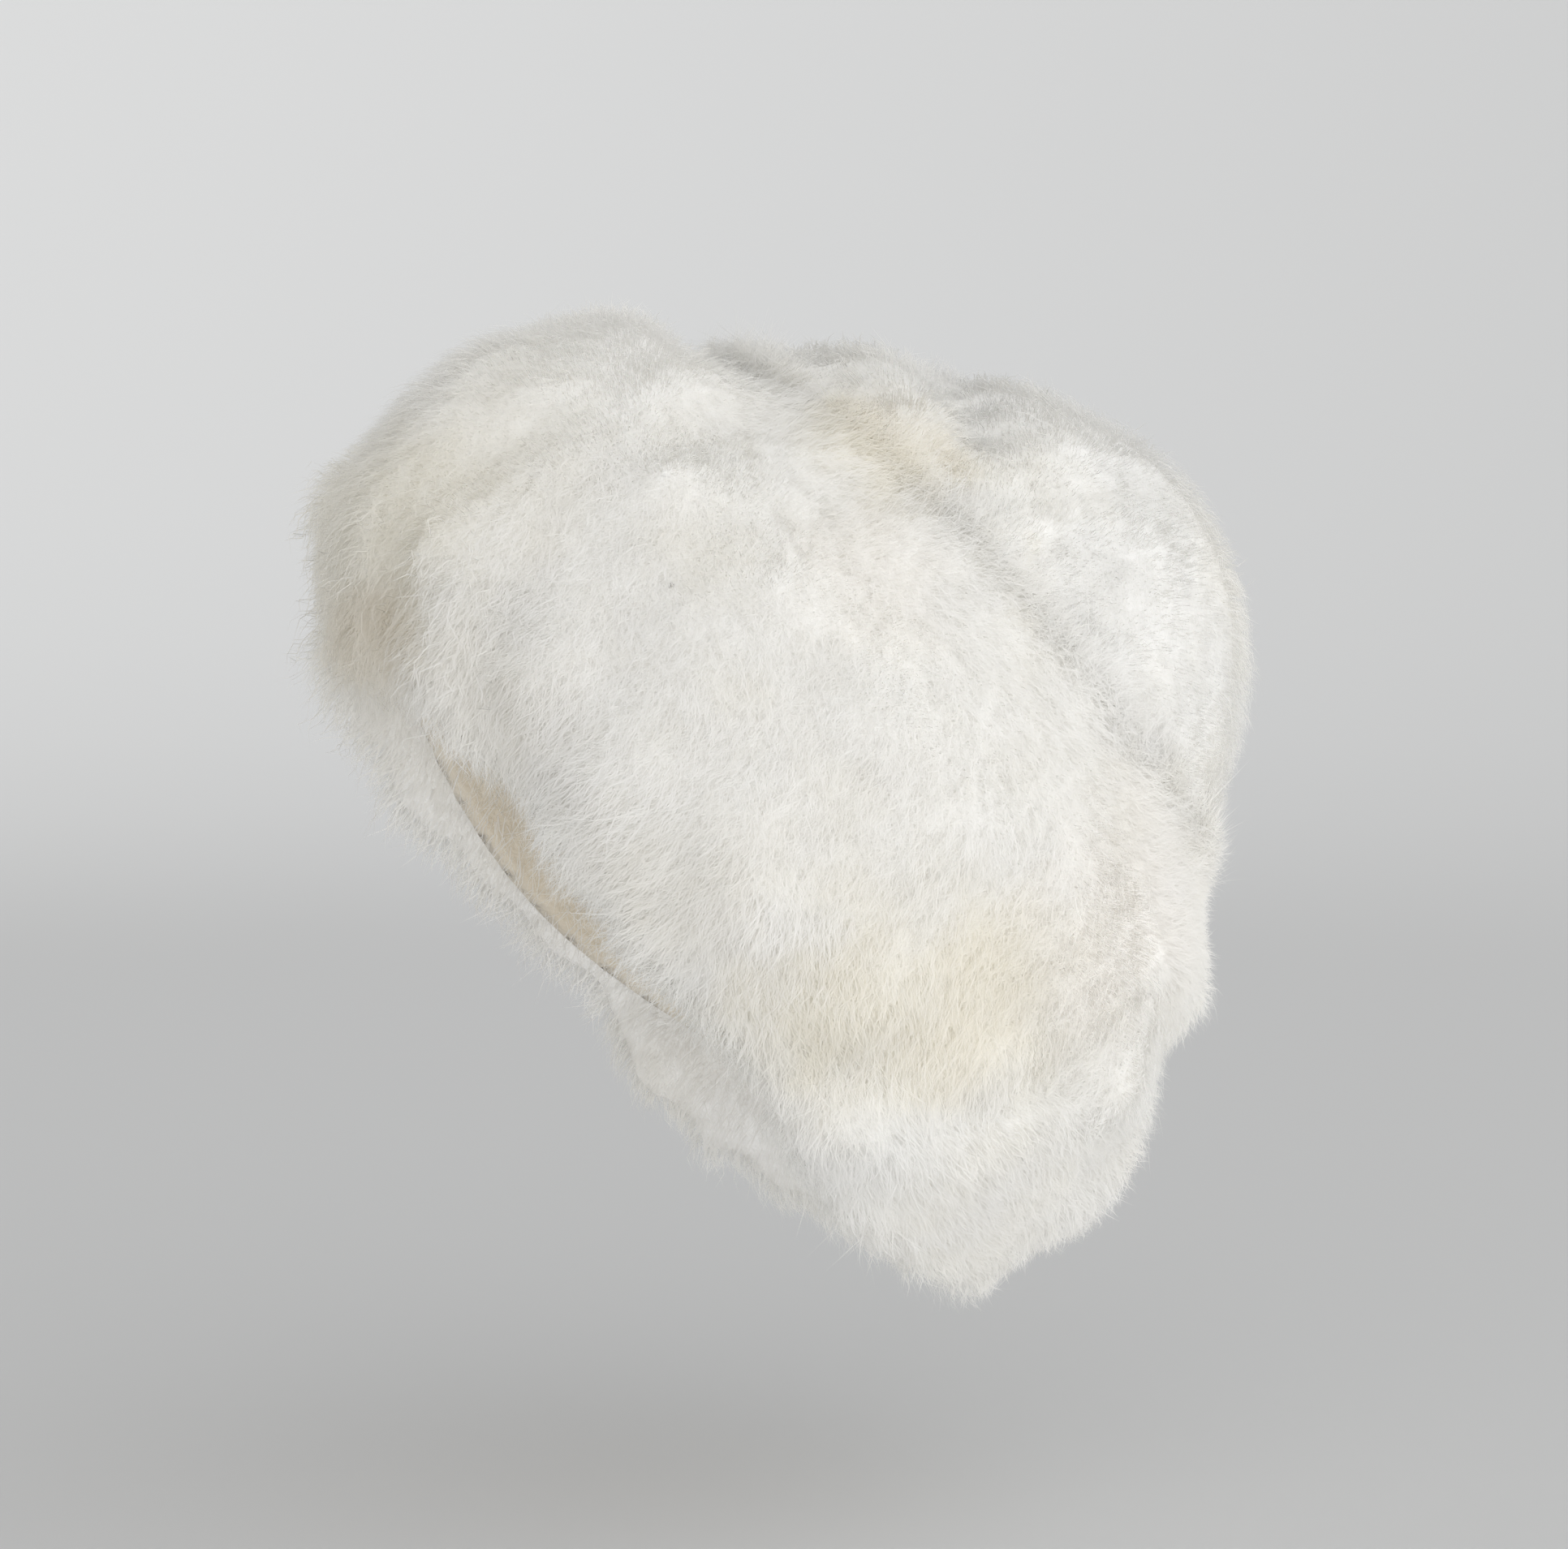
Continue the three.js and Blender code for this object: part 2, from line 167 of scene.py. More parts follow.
def new_group(name, inputs, outputs):
    """An empty node group with its named sockets, and the two nodes that stand for them inside."""
    group = bpy.data.node_groups.new(name, "ShaderNodeTree")
    for in_out, sockets in (("INPUT", inputs), ("OUTPUT", outputs)):
        for socket, kind in sockets:
            group.interface.new_socket(name=socket, in_out=in_out, socket_type="NodeSocket" + kind)
    given = group.nodes.new("NodeGroupInput").outputs
    result = group.nodes.new("NodeGroupOutput").inputs
    return group, group.nodes, group.links, given, result


def placed(nodes, group):
    """One use of a node group in a material."""
    use = nodes.new("ShaderNodeGroup")
    use.node_tree = group
    return use


def wool_tone_group():
    """Wool's own colour from a fibre's root to its tip, creamier in patches, paler lock by lock."""
    group, nodes, links, given, result = new_group(
        "wool_tone",
        (("Place", "Vector"), ("Along", "Float"), ("Lock", "Float"),
         ("Root", "Color"), ("Middle", "Color"), ("Tip", "Color")),
        (("Colour", "Color"),),
    )
    lower = nodes.new("ShaderNodeMapRange")
    lower.inputs["From Max"].default_value = 0.4
    upper = nodes.new("ShaderNodeMapRange")
    upper.inputs["From Min"].default_value = 0.4
    to_middle, to_tip, cream, by_lock = (nodes.new("ShaderNodeMix") for _ in range(4))
    for mix in (to_middle, to_tip, cream, by_lock):
        mix.data_type = "RGBA"
    patches = nodes.new("ShaderNodeTexNoise")
    patches.inputs["Scale"].default_value = 24
    patches.inputs["Detail"].default_value = 4
    patch_range = nodes.new("ShaderNodeMapRange")
    patch_range.inputs["From Min"].default_value = 0.45
    patch_range.inputs["From Max"].default_value = 0.72
    patch_range.inputs["To Max"].default_value = 0.5
    cream.inputs["B"].default_value = CREAM
    lock_shade = nodes.new("ShaderNodeValToRGB")
    lock_shade.color_ramp.elements[0].color = (0.978, 0.975, 0.965, 1)
    lock_shade.color_ramp.elements[1].color = (1, 1, 1, 1)
    lock_shade.color_ramp.elements[1].position = 0.6
    by_lock.blend_type = "MULTIPLY"
    by_lock.inputs["Factor"].default_value = 1
    links.new(given["Along"], lower.inputs["Value"])
    links.new(given["Along"], upper.inputs["Value"])
    links.new(lower.outputs["Result"], to_middle.inputs["Factor"])
    links.new(given["Root"], to_middle.inputs["A"])
    links.new(given["Middle"], to_middle.inputs["B"])
    links.new(upper.outputs["Result"], to_tip.inputs["Factor"])
    links.new(to_middle.outputs["Result"], to_tip.inputs["A"])
    links.new(given["Tip"], to_tip.inputs["B"])
    links.new(given["Place"], patches.inputs["Vector"])
    links.new(patches.outputs["Fac"], patch_range.inputs["Value"])
    links.new(patch_range.outputs["Result"], cream.inputs["Factor"])
    links.new(to_tip.outputs["Result"], cream.inputs["A"])
    links.new(given["Lock"], lock_shade.inputs["Fac"])
    links.new(cream.outputs["Result"], by_lock.inputs["A"])
    links.new(lock_shade.outputs["Color"], by_lock.inputs["B"])
    links.new(by_lock.outputs["Result"], result["Colour"])
    return group


def ragged_edge_group():
    """Shifts places about a little, so that a spot laid there has a ragged edge."""
    group, nodes, links, given, result = new_group(
        "ragged_edge", (("Place", "Vector"),), (("Place", "Vector"),)
    )
    ragged = nodes.new("ShaderNodeTexNoise")
    ragged.inputs["Scale"].default_value = 45
    centred = nodes.new("ShaderNodeVectorMath")
    centred.operation = "SUBTRACT"
    centred.inputs[1].default_value = (0.025, 0.025, 0.025)
    shift = nodes.new("ShaderNodeVectorMath")
    shift.operation = "MULTIPLY_ADD"
    shift.inputs[1].default_value = (0.05, 0.05, 0.05)
    links.new(given["Place"], ragged.inputs["Vector"])
    links.new(given["Place"], centred.inputs[0])
    links.new(ragged.outputs["Color"], shift.inputs[0])
    links.new(centred.outputs["Vector"], shift.inputs[2])
    links.new(shift.outputs["Vector"], result["Place"])
    return group


def stain_and_shade_group():
    """Lays a soft spot of another tone over a colour, fading from its core to its radius."""
    group, nodes, links, given, result = new_group(
        "stain_and_shade",
        (("Place", "Vector"), ("Colour", "Color"), ("Centre", "Vector"),
         ("Radius", "Float"), ("Strength", "Float"), ("Tone", "Color")),
        (("Colour", "Color"),),
    )
    distance = nodes.new("ShaderNodeVectorMath")
    distance.operation = "DISTANCE"
    core = nodes.new("ShaderNodeMath")
    core.operation = "MULTIPLY"
    core.inputs[1].default_value = 0.15
    fall = nodes.new("ShaderNodeMapRange")
    fall.interpolation_type = "SMOOTHSTEP"
    fall.inputs["To Min"].default_value = 0
    mix = nodes.new("ShaderNodeMix")
    mix.data_type = "RGBA"
    links.new(given["Place"], distance.inputs[0])
    links.new(given["Centre"], distance.inputs[1])
    links.new(given["Radius"], core.inputs[0])
    links.new(distance.outputs["Value"], fall.inputs["Value"])
    links.new(given["Radius"], fall.inputs["From Min"])
    links.new(core.outputs["Value"], fall.inputs["From Max"])
    links.new(given["Strength"], fall.inputs["To Max"])
    links.new(fall.outputs["Result"], mix.inputs["Factor"])
    links.new(given["Colour"], mix.inputs["A"])
    links.new(given["Tone"], mix.inputs["B"])
    links.new(mix.outputs["Result"], result["Colour"])
    return group


def wool_grain_group():
    """The fine unevenness of matted under-wool, as a height."""
    group, nodes, links, given, result = new_group(
        "wool_grain", (("Place", "Vector"),), (("Height", "Float"),)
    )
    fibres = nodes.new("ShaderNodeTexNoise")
    fibres.inputs["Scale"].default_value = 500
    fibres.inputs["Detail"].default_value = 5
    links.new(given["Place"], fibres.inputs["Vector"])
    links.new(fibres.outputs["Fac"], result["Height"])
    return group


wool_tone, ragged_edge, stain_and_shade, wool_grain = (
    wool_tone_group(), ragged_edge_group(), stain_and_shade_group(), wool_grain_group()
)

YELLOW = (0.975, 0.942, 0.845, 1)
PEACH = (0.975, 0.955, 0.925, 1)
# A grey used only as painted shade on the nape lobe.
PAINTED_SHADE_GREY = (0.945, 0.945, 0.938, 1)
STRAW = (0.955, 0.935, 0.87, 1)
# The tan is partly the wool's own tan tone and partly painted shade under the front edge.
TAN_AND_PAINTED_SHADE = (0.90, 0.865, 0.79, 1)
BURR = (0.12, 0.09, 0.07, 1)
# Each spot, stained or painted shade: its middle, its radius, its strength and its tone.
STAINS_AND_SHADE = (
    ((0.052, -0.061, 0.145), 0.05, 0.5, CREAM),
    ((0.037, -0.083, 0.125), 0.05, 0.6, STRAW),
    ((-0.03, -0.09, 0.11), 0.07, 0.6, STRAW),
    # The two tan spots low on the front are partly the wool's tan tone and partly painted shade
    # under the front edge.
    ((0.035, -0.088, 0.085), 0.03, 0.9, TAN_AND_PAINTED_SHADE),
    ((0.0, -0.09, 0.08), 0.04, 0.7, TAN_AND_PAINTED_SHADE),
    ((0.115, 0.021, -0.018), 0.035, 0.6, STRAW),
    ((0.112, 0.055, -0.02), 0.055, 0.3, YELLOW),
    ((0.110, 0.080, -0.022), 0.05, 0.25, YELLOW),
    ((0.103, 0.129, 0.0), 0.06, 0.5, PEACH),
    ((0.106, 0.044, 0.111), 0.04, 0.35, PEACH),
    ((0.070, 0.055, 0.142), 0.034, 0.45, YELLOW),
    ((0.104, -0.019, 0.106), 0.0015, 1, BURR),
)


def wool_material(name, see_through, stains_and_shade, middle=WOOL_MIDDLE, tip=WOOL_TIP):
    """Wool with its stained spots and spots of painted shade: see-through fibres that glow from
    behind, or a matted under-wool.
    """
    material, nodes, links = new_material(name)
    output = nodes.new("ShaderNodeOutputMaterial")
    shader = nodes.new("ShaderNodeBsdfPrincipled")
    place = nodes.new("ShaderNodeTexCoord").outputs["Object"]
    tone = placed(nodes, wool_tone)
    for socket, attribute in (("Along", "along"), ("Lock", "lock")):
        reader = nodes.new("ShaderNodeAttribute")
        reader.attribute_name = attribute
        links.new(reader.outputs["Fac"], tone.inputs[socket])
    links.new(place, tone.inputs["Place"])
    tone.inputs["Root"].default_value = WOOL_ROOT
    tone.inputs["Middle"].default_value = middle
    tone.inputs["Tip"].default_value = tip
    ragged = placed(nodes, ragged_edge)
    links.new(place, ragged.inputs["Place"])
    colour = tone.outputs["Colour"]
    for centre, radius, strength, spot_tone in stains_and_shade:
        spot = placed(nodes, stain_and_shade)
        spot.inputs["Centre"].default_value = centre
        spot.inputs["Radius"].default_value = radius
        spot.inputs["Strength"].default_value = strength
        spot.inputs["Tone"].default_value = spot_tone
        links.new(ragged.outputs["Place"] if radius > FINE_SPOT else place, spot.inputs["Place"])
        links.new(colour, spot.inputs["Colour"])
        colour = spot.outputs["Colour"]
    links.new(colour, shader.inputs["Base Color"])
    shader.inputs["Roughness"].default_value = 0.85
    shader.inputs["Specular IOR Level"].default_value = 0.15
    shader.inputs["Sheen Weight"].default_value = 0.15
    if see_through:
        behind = nodes.new("ShaderNodeBsdfTranslucent")
        both = nodes.new("ShaderNodeMixShader")
        both.inputs["Fac"].default_value = see_through
        links.new(colour, behind.inputs["Color"])
        links.new(shader.outputs["BSDF"], both.inputs[1])
        links.new(behind.outputs["BSDF"], both.inputs[2])
        links.new(both.outputs["Shader"], output.inputs["Surface"])
    else:
        grain = placed(nodes, wool_grain)
        relief = nodes.new("ShaderNodeBump")
        relief.inputs["Strength"].default_value = 0.8
        relief.inputs["Distance"].default_value = 0.0015
        links.new(place, grain.inputs["Place"])
        links.new(grain.outputs["Height"], relief.inputs["Height"])
        links.new(relief.outputs["Normal"], shader.inputs["Normal"])
        links.new(shader.outputs["BSDF"], output.inputs["Surface"])
    return material


def paint(piece, name, values):
    layer = piece.data.attributes.new(name, "FLOAT", "POINT")
    layer.data.foreach_set("value", values.astype(np.float32))


def points_and_normals(mesh):
    count = len(mesh.vertices)
    places = np.empty(count * 3)
    mesh.vertices.foreach_get("co", places)
    normals = np.empty(count * 3)
    mesh.vertices.foreach_get("normal", normals)
    return places.reshape(-1, 3), normals.reshape(-1, 3)


def largest_part(piece):
    """Drops the crumbs that thin lock tips leave behind once the piece is drawn in."""
    only(piece)
    name = piece.name
    bpy.ops.object.mode_set(mode="EDIT")
    bpy.ops.mesh.select_all(action="SELECT")
    bpy.ops.mesh.separate(type="LOOSE")
    bpy.ops.object.mode_set(mode="OBJECT")
    parts = sorted(bpy.context.selected_objects, key=lambda part: -len(part.data.vertices))
    for crumb in parts[1:]:
        bpy.data.objects.remove(crumb)
    parts[0].name = name
    only(parts[0])
    return parts[0]


COARSE_GRID = 0.0038
FINE_GRID = 0.0041
LUMP_SIZE = 0.026
LUMP_HEIGHT = 0.005


def remesh(bed, grid, smoothings):
    """Wraps the bed in an even skin and smooths that as many times as asked."""
    skin = bed.modifiers.new("skin", "REMESH")
    skin.mode = "VOXEL"
    skin.voxel_size = grid
    soften = bed.modifiers.new("soften", "SMOOTH")
    soften.factor = 0.5
    soften.iterations = smoothings


def soft_wool(nodes, name, inset):
    """The dense under-wool of several solids as one mass: softened, drawn in and left lumpy."""
    bed = cut_from(nodes, name)
    remesh(bed, COARSE_GRID, 45)
    finish_modifiers(bed)
    places, normals = points_and_normals(bed.data)
    places = places - normals * inset(places, normals)[:, None]
    bed.data.vertices.foreach_set("co", places.ravel())
    bed.data.update()
    remesh(bed, FINE_GRID, 3)
    lumps = bpy.data.textures.new(name + "_lumps", "CLOUDS")
    lumps.noise_scale = LUMP_SIZE
    lumps.noise_depth = 3
    lumpy = bed.modifiers.new("lumpy", "DISPLACE")
    lumpy.texture = lumps
    lumpy.texture_coords = "LOCAL"
    lumpy.strength = LUMP_HEIGHT
    lumpy.mid_level = 0.5
    finish_modifiers(bed)
    return largest_part(bed)


def press(bed, dents, open_side):
    """Pushes the bed in at each dent, or out where its depth is negative, then evens it."""
    places, normals = points_and_normals(bed.data)
    push = np.zeros(len(places))
    for centre, radius, depth in dents:
        distance = np.linalg.norm(places - np.array(centre), axis=1)
        push += depth * np.exp(-((distance / radius) ** 2))
    places = places - normals * (push * open_side(places, normals))[:, None]
    bed.data.vertices.foreach_set("co", places.ravel())
    bed.data.update()
    relax = bed.modifiers.new("relax", "SMOOTH")
    relax.factor = 0.5
    relax.iterations = 8
    finish_modifiers(bed)
    bpy.ops.object.shade_smooth()


def cut_off(bed, name, wanted):
    """Parts the faces that wanted picks from the bed, as a piece of their own."""
    middles = np.empty(len(bed.data.polygons) * 3)
    bed.data.polygons.foreach_get("center", middles)
    only(bed)
    bpy.ops.object.mode_set(mode="EDIT")
    bpy.ops.mesh.select_mode(type="FACE")
    bpy.ops.mesh.select_all(action="DESELECT")
    bpy.ops.object.mode_set(mode="OBJECT")
    bed.data.polygons.foreach_set("select", wanted(middles.reshape(-1, 3)))
    bpy.ops.object.mode_set(mode="EDIT")
    bpy.ops.mesh.separate(type="SELECTED")
    bpy.ops.object.mode_set(mode="OBJECT")
    piece = [part for part in bpy.context.selected_objects if part != bed][0]
    piece.name = name
    return piece


def dress_bed(bed, nodes, material):
    bed.data.materials.append(material)
    paint(bed, "along", np.full(len(bed.data.vertices), 0.5))
    paint(bed, "lock", np.full(len(bed.data.vertices), 0.7))
    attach(bed, "root")
    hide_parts(*nodes)


def roots_on(bed, count, wanted, dice):
    """Places and normals scattered evenly over the bed, where wanted gives a share above zero."""
    mesh = bed.data
    mesh.calc_loop_triangles()
    corners = np.empty(len(mesh.loop_triangles) * 3, np.int32)
    mesh.loop_triangles.foreach_get("vertices", corners)
    corners = corners.reshape(-1, 3)
    places, normals = points_and_normals(mesh)
    a, b, c = (places[corners[:, i]] for i in range(3))
    area = np.linalg.norm(np.cross(b - a, c - a), axis=1)
    middle = (a + b + c) / 3
    facing = unit(normals[corners].sum(axis=1))
    weight = area * wanted(middle, facing)
    chosen = dice.choice(len(corners), count, p=weight / weight.sum())
    u, v = dice.random(count), dice.random(count)
    over = u + v > 1
    u[over], v[over] = 1 - u[over], 1 - v[over]
    shares = np.stack([1 - u - v, u, v], axis=1)
    root = (places[corners[chosen]] * shares[:, :, None]).sum(axis=1)
    out = unit((normals[corners[chosen]] * shares[:, :, None]).sum(axis=1))
    return root, out


# How each kind of fibre is made: its steps, width and length, how far it rises and falls over, how
# it strays and curls, how strongly its lock gathers it, and how many fibres a lock has.
FLUFF = dict(steps=2, width=0.00023, length=0.8, rise=0.57, fall=0.55, stray=0.4,
             curl=0.0007, waves=0.8, gather=0.1, lock_size=40)
LOCKS = dict(steps=3, width=0.00029, length=1.15, rise=0.5, fall=0.62, stray=0.22,
             curl=0.0012, waves=1.4, gather=0.32, lock_size=24)
CURLS = dict(steps=5, width=0.0004, length=1.4, rise=0.6, fall=0.6, stray=0.35,
             curl=0.0026, waves=1.6, gather=0.75, lock_size=16)
LONG_SHARE, LONG_EXTRA = 0.15, 1.3
LOCK_REACH = 0.012
LOCK_WANDER = 0.001
ROOT_DEPTH = 0.001
TAPER = 0.55
SOFTNESS = 0.6


def gather_in_locks(root, tip, style, dice):
    """Draws the tips of neighbouring fibres together, and gives each lock a tone of its own."""
    lock_count = int(len(root) / style["lock_size"])
    middles = dice.choice(len(root), lock_count, replace=False)
    tree = kdtree.KDTree(lock_count)
    for index, middle in enumerate(middles):
        tree.insert(Vector(root[middle]), index)
    tree.balance()
    nearest = np.array([tree.find(Vector(place))[1] for place in root])
    lock_tone = dice.random(lock_count)[nearest]
    lock_tip = tip[middles][nearest] + dice.normal(0, LOCK_WANDER, (lock_count, 3))[nearest]
    apart = np.linalg.norm(lock_tip - tip, axis=1)
    pull = style["gather"] * np.clip(1.6 - apart / LOCK_REACH, 0.15, 1)
    return tip + (lock_tip - tip) * pull[:, None], lock_tone


def curl_fibres(path, share, across, along, lock_tone, style, dice):
    """Winds each path round itself a little, more toward the tip."""
    count = len(path)
    start = dice.random(count)[:, None] * 2 * math.pi + lock_tone[:, None] * 3
    wave = start + share[None, :] * style["waves"] * 2 * math.pi
    swing = style["curl"] * (0.6 + 0.8 * dice.random(count))[:, None] * share[None, :]
    path += across[:, None] * (swing * np.sin(wave))[:, :, None]
    path += unit(np.cross(across, along))[:, None] * (swing * np.cos(wave))[:, :, None]


def in_pairs(left, right, tip):
    """The corners of each ribbon in order: left and right at every step, then the tip."""
    pairs = np.stack([left[:, :-1], right[:, :-1]], axis=2)
    return np.concatenate([pairs.reshape(len(tip), -1, tip.shape[-1]), tip[:, None]], axis=1)


def ribbon_mesh(name, path, share, out, width, dice):
    """All the fibres as one mesh of flat tapered ribbons, shaded partly as the bed under them."""
    count, steps = len(path), len(share) - 1
    heading = unit(np.gradient(path, axis=1))
    roll = dice.uniform(-0.6, 0.6, count)[:, None, None]
    flat = unit(np.cross(heading, out[:, None]))
    side = unit(flat * np.cos(roll) + out[:, None] * np.sin(roll))
    half = 0.5 * width * (0.7 + 0.6 * dice.random(count))[:, None] * (1 - TAPER * share[None, :])
    turned = (np.cross(side, heading) * out[:, None]).sum(axis=2, keepdims=True) < 0
    side = np.where(turned, -side, side)
    left, right = path - side * half[:, :, None], path + side * half[:, :, None]
    corners_each = 2 * steps + 1
    quads = np.array([[2 * i, 2 * i + 1, 2 * i + 3, 2 * i + 2] for i in range(steps - 1)])
    one_fibre = np.concatenate([quads.ravel(), [2 * steps - 2, 2 * steps - 1, 2 * steps]])
    corners = ((np.arange(count) * corners_each)[:, None] + one_fibre[None, :]).ravel()
    sizes = np.tile([4] * (steps - 1) + [3], count)
    starts = np.concatenate([[0], np.cumsum(sizes)[:-1]])
    mesh = bpy.data.meshes.new(name)
    mesh.vertices.add(count * corners_each)
    places = in_pairs(left, right, path[:, -1])
    mesh.vertices.foreach_set("co", places.astype(np.float32).ravel())
    mesh.loops.add(len(corners))
    mesh.loops.foreach_set("vertex_index", corners.astype(np.int32))
    mesh.polygons.add(len(sizes))
    mesh.polygons.foreach_set("loop_start", starts.astype(np.int32))
    mesh.polygons.foreach_set("use_smooth", np.ones(len(sizes), bool))
    mesh.update(calc_edges=True)
    facing = unit(np.cross(side, heading) * (1 - SOFTNESS) + out[:, None] * SOFTNESS)
    shading = in_pairs(facing, facing, facing[:, -1])
    mesh.normals_split_custom_set_from_vertices(shading.reshape(-1, 3))
    return mesh


def pile(name, bed, material, count, wanted, lie_of, length, style, seed):
    """Tapered fibres rooted in a bed, leaning the way the pile lies and drawn together in locks."""
    rise, fall = style["rise"], style["fall"]
    dice = np.random.default_rng(seed)
    root, out = roots_on(bed, count, wanted, dice)
    lie = lie_of(root, out)
    lie = lie - out * (lie * out).sum(axis=1)[:, None]
    lie = unit(lie) * np.clip(np.linalg.norm(lie, axis=1), 0.7, 1)[:, None]
    reach = style["length"] * length(root) * (0.7 + 0.5 * dice.random(count))
    reach = reach * np.where(dice.random(count) < LONG_SHARE, LONG_EXTRA, 1)
    across = unit(np.cross(out, lie + 1e-4))
    tip = root + out * (rise * reach)[:, None] + lie * (fall * reach)[:, None]
    tip += across * (dice.normal(0, style["stray"], count) * reach)[:, None]
    tip, lock_tone = gather_in_locks(root, tip, style, dice)

    share = np.arange(style["steps"] + 1) / style["steps"]
    bend = root + out * (0.62 * rise * reach)[:, None] + lie * (0.18 * fall * reach)[:, None]
    path = (
        root[:, None] * ((1 - share) ** 2)[None, :, None]
        + bend[:, None] * (2 * share * (1 - share))[None, :, None]
        + tip[:, None] * (share**2)[None, :, None]
    )
    curl_fibres(path, share, across, unit(tip - root), lock_tone, style, dice)
    path[:, 0] -= out * ROOT_DEPTH

    mesh = ribbon_mesh(name, path, share, out, style["width"], dice)
    mesh.materials.append(material)
    piece = bpy.data.objects.new(name, mesh)
    bpy.context.scene.collection.objects.link(piece)
    shares = np.tile(share[None, :, None], (count, 1, 1))
    paint(piece, "along", in_pairs(shares, shares, shares[:, -1]).ravel())
    paint(piece, "lock", np.repeat(lock_tone, 2 * style["steps"] + 1))
    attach(piece, "root")
    return piece


bed_wool = wool_material("flap_under_wool", 0, STAINS_AND_SHADE)
flap_wool = wool_material("flap_pile", 0.45, STAINS_AND_SHADE)


def from_axis(places):
    """The direction straight out from the hat's own axis."""
    left, back, up, turn = to_hat(places)
    return unit(from_hat(left, back, np.zeros_like(up)))


def outward(places, facing):
    """1 where a surface faces away from the crown, fading to 0 where it faces its wall."""
    return np.clip(0.55 + 1.2 * (from_axis(places) * facing).sum(axis=1), 0, 1)


def skin_of(node):
    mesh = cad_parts[node].data
    corners = [corner.co for corner in mesh.vertices]
    return BVHTree.FromPolygons(corners, [list(face.vertices) for face in mesh.polygons])


band = ["front_flap", "left_ear_flap", "right_ear_flap", "nape_flap"]
flap_skins = [skin_of(node) for node in band]
crown_skin = skin_of("crown_fleece")


def gaps_to(places, skins):
    """How far each place is from each skin, the nearest first."""
    gaps = [[skin.find_nearest(Vector(place))[3] for skin in skins] for place in places]
    return np.sort(np.array(gaps), axis=1)


def on_crown(places):
    return gaps_to(places, [crown_skin])[:, 0] < gaps_to(places, flap_skins)[:, 0]


DOME_MIDDLE = (0, 0.10, 0.10)


def over_dome(places, facing):
    """1 where the crown's fleece faces out, fading to 0 where it faces the hide."""
    away = unit(places - np.array(DOME_MIDDLE))
    return np.clip(0.5 + 1.2 * (away * facing).sum(axis=1), 0, 1)


def open_side(places, facing):
    return np.where(on_crown(places), over_dome(places, facing), outward(places, facing))


SEAM_WIDTH = 0.016
SEAM_SWELL = 0.0075
CROWN_INSET = 0.004
FLAP_INSET = 0.0024
HIDE_SIDE_SWELL = 0.0012


def wool_inset(places, facing):
    """Drawn in where the pile stands free, and let out along the seams between the pieces."""
    free = open_side(places, facing)
    crown_side = on_crown(places)
    gap = gaps_to(places, flap_skins + [crown_skin])[:, 1]
    seam = np.clip(1.25 - gap / SEAM_WIDTH, 0, 1) * free
    drawn_in = np.where(crown_side, CROWN_INSET, FLAP_INSET) * free * (1 - seam)
    return drawn_in - SEAM_SWELL * seam - HIDE_SIDE_SWELL * (1 - free) * ~crown_side


def swirl(places, scale, seed):
    """A slow, smooth wandering of the pile, as where locks part and turn."""
    dice = np.random.default_rng(seed)
    waves = dice.normal(0, 1, (6, 3)) / scale
    starts = dice.uniform(0, 6.28, (6, 3))
    phase = places @ waves.T
    return np.stack([np.sin(phase + starts[:, i]).sum(axis=1) / 2.4 for i in range(3)], axis=1)


def flap_lie(places, facing):
    """Down to the rim over most of a flap, loose in its middle, and up over its top edge."""
    left, back, up, turn = to_hat(places)
    share = np.clip((up + 0.02) / 0.155, 0, 1)
    down = -1.0 + 1.5 * np.clip((share - 0.62) / 0.38, 0, 1)
    lie = from_hat(np.zeros_like(up), np.zeros_like(up), down)
    lie = lie + np.array([0, 0, -0.35]) + 0.42 * swirl(places, 0.026, 5)
    round_hat = from_hat(-back, left, np.zeros_like(up)) * np.sign(left)[:, None]
    lie = lie + unit(round_hat) * (0.7 - 0.7 * np.abs(down))[:, None]
    brow = np.clip(1 - np.abs(turn) / 70, 0, 1) * np.clip((0.09 - up) / 0.05, 0, 1)
    return lie + brow[:, None] * np.array([0, 0.9, -0.5])


FLAP_PILE_LENGTH = 0.012
RIM_EXTRA = 0.006


def flap_length(places):
    """The pile is longest at the rim."""
    left, back, up, turn = to_hat(places)
    return FLAP_PILE_LENGTH + RIM_EXTRA * np.clip((0.03 - up) / 0.05, 0, 1)


# Each dent: its middle, its radius and its depth. A depth below zero is a swelling.
BAND_DENTS = (
    ((0.110, 0.087, -0.025), 0.012, 0.004),
    ((0.050, 0.020, 0.176), 0.015, 0.010),
    ((0.025, 0.020, 0.180), 0.015, 0.012),
    ((0.0, 0.020, 0.182), 0.015, 0.012),
    ((-0.025, 0.020, 0.182), 0.015, 0.012),
    ((-0.050, 0.020, 0.176), 0.015, 0.010),
    ((0.04, -0.008, 0.180), 0.022, -0.004),
    ((0.005, -0.012, 0.186), 0.026, -0.004),
    ((-0.035, -0.012, 0.182), 0.026, -0.006),
    ((0.074, -0.050, 0.116), 0.018, -0.003),
    ((0.082, -0.025, 0.134), 0.018, -0.003),
    ((0.084, 0.090, -0.052), 0.02, -0.003),
    ((0.078, 0.140, -0.050), 0.015, -0.006),
    ((0.060, 0.176, -0.030), 0.02, 0.002),
    ((0.066, 0.146, -0.088), 0.024, 0.010),
    ((0.058, 0.132, -0.102), 0.026, 0.009),
    ((0.02, -0.07, 0.155), 0.04, -0.004),
    ((-0.03, -0.09, 0.13), 0.04, -0.003),
    ((-0.075, -0.075, 0.055), 0.035, -0.011),
    ((-0.095, -0.055, 0.030), 0.03, -0.008),
)
